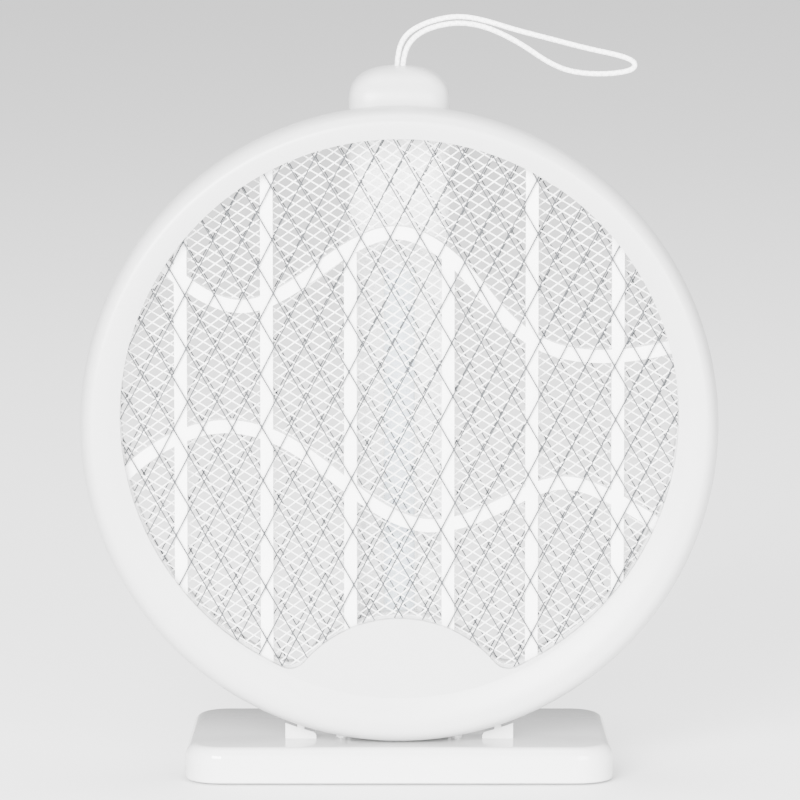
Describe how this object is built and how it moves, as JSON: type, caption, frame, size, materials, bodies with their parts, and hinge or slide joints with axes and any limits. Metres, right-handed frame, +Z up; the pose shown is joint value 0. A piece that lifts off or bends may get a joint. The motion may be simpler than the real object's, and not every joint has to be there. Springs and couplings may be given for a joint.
{
  "type": "electric fly swatter",
  "caption": "Folding electric fly swatter with a round layered net and a lamp in its folded handle, standing upright on a charging base.",
  "frame": {"origin": "under the middle of the charging base, on the surface it stands on", "axes": "+Z up, -Y towards the front of the net, +X to the right as seen from the front"},
  "size_m": [0.22, 0.085, 0.2625],
  "materials": {
    "white_shell": "satin moulded",
    "white_base": "polished",
    "white_rib": "moulded",
    "button_plastic": "fine texture",
    "net_metal": "expanded sheet",
    "mesh_metal": "bright expanded mesh",
    "steel": "turned",
    "zinc_screw": "zinc plated",
    "brass_contact": "plated",
    "clear_window": "clear moulded",
    "diffuser": "frosted",
    "circuit_board": "solder mask",
    "white_board": "solder mask",
    "component": "moulded",
    "cell_wrap": "shrink wrap",
    "rubber_foot": "matte",
    "clear_rubber": "soft",
    "lanyard_cord": "braided"
  },
  "bodies": {
    "base": {"base_top_shell": "white_base", "base_bottom_plate": "white_base", "base_feet": "rubber_foot", "base_screws": "zinc_screw", "base_weights": "steel", "base_board": "circuit_board", "contact_block": "component", "contact_pins": "brass_contact", "charging_socket": "steel", "cradle_rests": "white_base", "cradle_pads": "clear_rubber", "cradle_back_rest": "white_base", "locating_pegs": "white_base"},
    "head": {"head_front_shell": "white_shell", "head_rear_shell": "white_shell", "head_screws": "zinc_screw", "front_grid": "net_metal", "rear_grid": "net_metal", "middle_mesh": "mesh_metal", "front_rib_frame": "white_rib", "rear_rib_frame": "white_rib", "lobe_board": "circuit_board", "net_contacts": "brass_contact", "discharge_resistor": "component", "charging_pads": "brass_contact", "hinge_pin": "steel", "hinge_caps": "button_plastic", "friction_washers": "component"},
    "handle": {"hinge_knuckle": "white_shell", "hinge_bushes": "brass_contact", "handle_front_shell": "white_shell", "handle_rear_shell": "white_shell", "handle_end_cap": "white_shell", "handle_screws": "zinc_screw", "led_board": "white_board", "uv_leds": "component", "lamp_diffuser": "diffuser", "lamp_window": "clear_window", "battery_cell": "cell_wrap", "battery_contacts": "brass_contact", "main_board": "circuit_board", "hv_transformer": "component", "hv_capacitors": "component", "tact_switch": "component", "mode_switch_base": "component", "status_light": "diffuser", "lanyard_knot": "lanyard_cord", "lanyard": "lanyard_cord"},
    "zap_button": {"zap_button": "button_plastic"},
    "mode_switch": {"mode_switch": "button_plastic"}
  },
  "joints": [
    {"name": "lift_off", "type": "slide", "parent": "base", "child": "head", "axis": [0, 0, 1], "range_m": [0, 0.3]},
    {"name": "handle_fold", "type": "hinge", "parent": "head", "child": "handle", "pos_m": [0, -0.002, 0.0233], "axis": [-1, 0, 0], "range_deg": [0, 180]},
    {"name": "zap_press", "type": "slide", "parent": "handle", "child": "zap_button", "axis": [0, -1, 0], "range_m": [0, 0.0012], "stiffness_N_per_m": 900, "springref_m": -0.0012},
    {"name": "mode_slide", "type": "slide", "parent": "handle", "child": "mode_switch", "axis": [0, 0, 1], "range_m": [0, 0.006]}
  ],
  "couplings": [
    {"joint": "handle_fold", "follows": "lift_off", "rad_per_m": 10.472}
  ]
}
